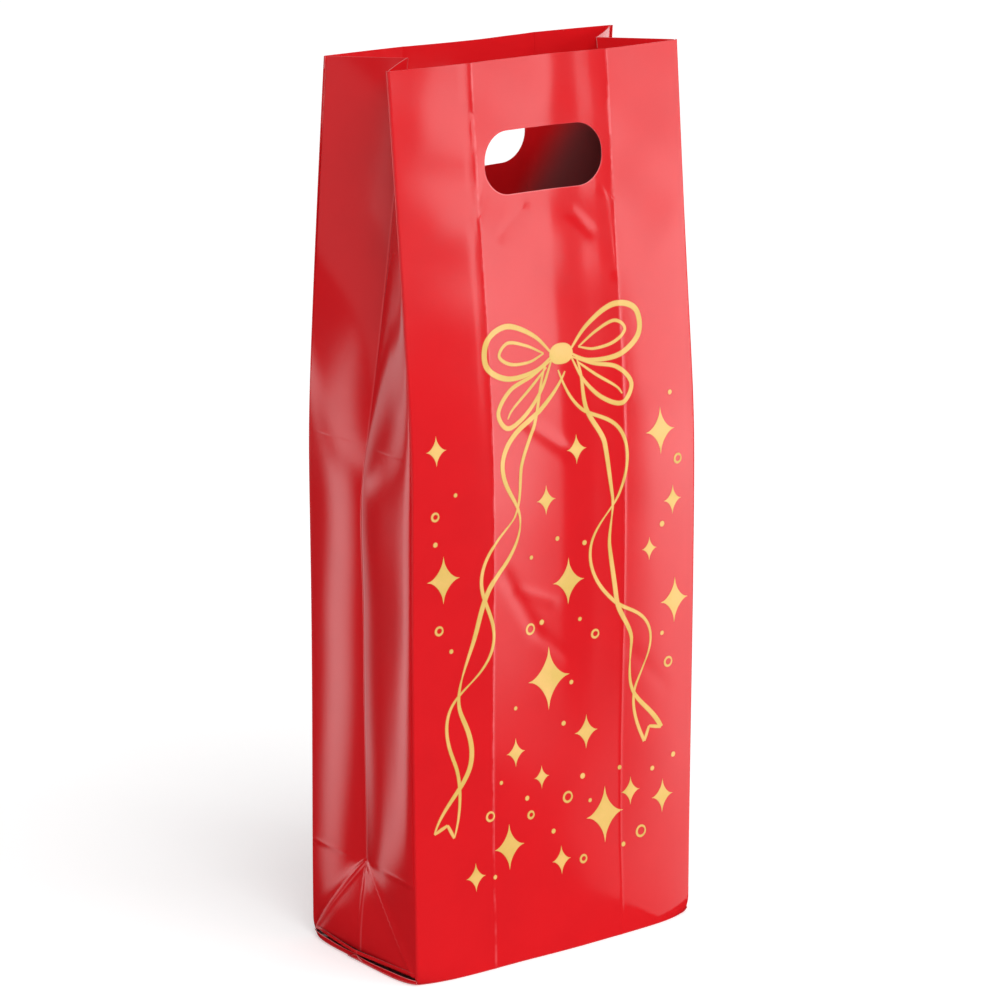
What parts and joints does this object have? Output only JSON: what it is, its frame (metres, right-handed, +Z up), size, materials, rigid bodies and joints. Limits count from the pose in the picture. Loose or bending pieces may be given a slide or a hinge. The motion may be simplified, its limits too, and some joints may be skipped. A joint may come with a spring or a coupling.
{
  "type": "wine gift bag",
  "caption": "Tall gusseted block-bottom carrier bag for one wine bottle, in soft glossy film, with a die-cut handle slot in the front and back.",
  "frame": {"origin": "middle of the rest surface, under the centre of the bag", "axes": "+Z up from the base to the mouth, +X to the right and +Y to the back as seen from in front, so the printed front panel faces -Y"},
  "size_m": [0.15, 0.078, 0.393],
  "materials": {
    "film": "glossy soft polyethylene film, red on both sides",
    "print": "gold ink printed on the outside of the film"
  },
  "bodies": {
    "box": {"front_panel_lower": "film", "back_panel_lower": "film", "left_gusset_front_lower": "film", "left_gusset_rear_lower": "film", "right_gusset_front_lower": "film", "right_gusset_rear_lower": "film", "base_flap_front": "film", "base_flap_back": "film", "left_corner_tuck": "film", "right_corner_tuck": "film"},
    "front_top": {"front_panel_upper": "film"},
    "back_top": {"back_panel_upper": "film"},
    "left_front_fold": {"left_gusset_front_upper": "film"},
    "left_rear_fold": {"left_gusset_rear_upper": "film"},
    "right_front_fold": {"right_gusset_front_upper": "film"},
    "right_rear_fold": {"right_gusset_rear_upper": "film"}
  },
  "joints": [
    {"name": "mouth_front", "type": "hinge", "parent": "box", "child": "front_top", "pos_m": [0, -0.0389, 0.232], "axis": [-1, 0, 0], "range_deg": [-5.5, 8], "stiffness_Nm_per_rad": 0.05},
    {"name": "mouth_back", "type": "hinge", "parent": "box", "child": "back_top", "pos_m": [0, 0.0389, 0.232], "axis": [1, 0, 0], "range_deg": [-5.5, 8]},
    {"name": "left_gusset_front", "type": "hinge", "parent": "front_top", "child": "left_front_fold", "pos_m": [-0.0749, -0.0389, 0.232], "axis": [0.7612, 0.647, 0.0452], "range_deg": [-7.28, 10.56], "deforming": ["left_gusset_front_upper"]},
    {"name": "left_gusset_rear", "type": "hinge", "parent": "back_top", "child": "left_rear_fold", "pos_m": [-0.0749, 0.0389, 0.232], "axis": [-0.7612, 0.647, -0.0452], "range_deg": [-7.28, 10.56], "deforming": ["left_gusset_rear_upper"]},
    {"name": "right_gusset_front", "type": "hinge", "parent": "front_top", "child": "right_front_fold", "pos_m": [0.0749, -0.0389, 0.232], "axis": [0.7612, -0.647, -0.0452], "range_deg": [-7.28, 10.56], "deforming": ["right_gusset_front_upper"]},
    {"name": "right_gusset_rear", "type": "hinge", "parent": "back_top", "child": "right_rear_fold", "pos_m": [0.0749, 0.0389, 0.232], "axis": [-0.7612, -0.647, 0.0452], "range_deg": [-7.28, 10.56], "deforming": ["right_gusset_rear_upper"]}
  ],
  "couplings": [
    {"joint": "mouth_back", "follows": "mouth_front", "ratio": 1},
    {"joint": "left_gusset_front", "follows": "mouth_front", "ratio": 1.3138},
    {"joint": "left_gusset_rear", "follows": "mouth_front", "ratio": 1.3138},
    {"joint": "right_gusset_front", "follows": "mouth_front", "ratio": 1.3138},
    {"joint": "right_gusset_rear", "follows": "mouth_front", "ratio": 1.3138}
  ]
}
